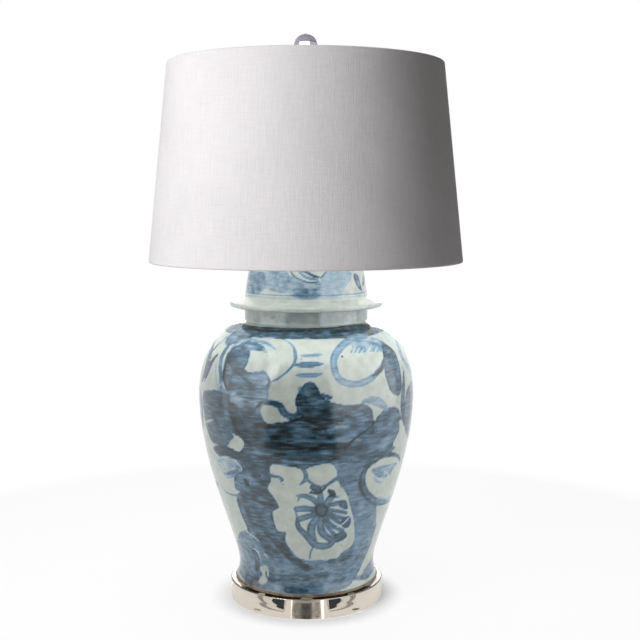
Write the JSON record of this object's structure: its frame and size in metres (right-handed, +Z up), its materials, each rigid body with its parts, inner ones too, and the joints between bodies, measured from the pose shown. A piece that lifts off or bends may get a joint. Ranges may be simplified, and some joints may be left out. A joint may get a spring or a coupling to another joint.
{
  "type": "ginger jar table lamp",
  "caption": "Blue and white ginger jar table lamp on a clear round base, with a tapered drum shade, a lift-off harp, a turn-knob socket and a ball finial.",
  "frame": {"origin": "centre of the base on the surface that the lamp stands on", "axes": "+Z up along the pipe; the switch knob points to -Y, the front, the cord hole to +Y and the harp's legs stand at -X and +X"},
  "size_m": [0.4567, 0.4566, 0.8283],
  "materials": {
    "acrylic": "polished clear acrylic",
    "clear_rubber": "soft translucent",
    "steel": "plain plated steel",
    "zinc": "zinc plated thread",
    "jar_porcelain": "pale celadon glaze with cobalt brushwork",
    "lid_porcelain": "pale celadon glaze with cobalt brushwork",
    "bushing_plastic": "moulded",
    "nickel": "satin nickel plate",
    "fibre": "varnished fibre",
    "moulded_core": "phenolic moulding",
    "screw_brass": "bright brass",
    "shell_brass": "rolled brass",
    "knob_plastic": "moulded, fluted",
    "bulb_metal": "rolled aluminium",
    "bulb_tip": "black glass insulator and solder tip",
    "bulb_glass": "frosted white glass",
    "shade_cloth": "off-white slub weave",
    "shade_liner": "white styrene sheet",
    "white_wire": "white lacquered wire",
    "crystal": "polished clear crystal"
  },
  "bodies": {
    "base": {"acrylic_base": "acrylic", "base_bumpers": "clear_rubber", "base_washer": "steel", "base_nut": "steel", "threaded_pipe": "zinc", "jar_body": "jar_porcelain", "cord_bushing": "bushing_plastic", "jar_lid": "lid_porcelain", "vase_cap": "nickel", "neck_spacer": "nickel", "harp_saddle": "nickel", "saddle_nut": "steel", "socket_cap": "nickel", "cap_screw": "steel", "socket_shell": "nickel", "socket_sleeve": "fibre", "socket_core": "moulded_core", "terminal_screws": "screw_brass", "screw_shell": "shell_brass", "centre_contact": "screw_brass"},
    "switch": {"switch_spindle": "steel", "switch_knob": "knob_plastic"},
    "bulb": {"bulb_cap": "bulb_metal", "bulb_tip": "bulb_tip", "bulb_glass": "bulb_glass"},
    "harp": {"harp_bow": "nickel"},
    "sleeve_left": {"harp_sleeve_left": "nickel"},
    "sleeve_right": {"harp_sleeve_right": "nickel"},
    "shade": {"harp_stud": "nickel", "shade_fabric": "shade_cloth", "shade_liner": "shade_liner", "shade_bottom_ring": "white_wire", "shade_spider": "white_wire"},
    "finial": {"finial_base": "nickel", "finial_ball": "crystal"}
  },
  "joints": [
    {"name": "switch_turn", "type": "hinge", "parent": "base", "child": "switch", "pos_m": [0, -0.0286, 0.5902], "axis": [0, -1, 0], "continuous": true},
    {"name": "bulb_unscrew", "type": "hinge", "parent": "base", "child": "bulb", "pos_m": [0, 0, 0.62], "axis": [0, 0, 1], "continuous": true},
    {"name": "harp_lift", "type": "slide", "parent": "base", "child": "harp", "axis": [0, 0, 1], "range_m": [0, 0.045]},
    {"name": "left_sleeve_lift", "type": "slide", "parent": "harp", "child": "sleeve_left", "axis": [0, 0, 1], "range_m": [0, 0.0105]},
    {"name": "right_sleeve_lift", "type": "slide", "parent": "harp", "child": "sleeve_right", "axis": [0, 0, 1], "range_m": [0, 0.0105]},
    {"name": "shade_turn", "type": "hinge", "parent": "harp", "child": "shade", "pos_m": [0, 0, 0.771], "axis": [0, 0, 1], "continuous": true},
    {"name": "finial_unscrew", "type": "hinge", "parent": "shade", "child": "finial", "pos_m": [0, 0, 0.785], "axis": [0, 0, 1], "continuous": true}
  ]
}
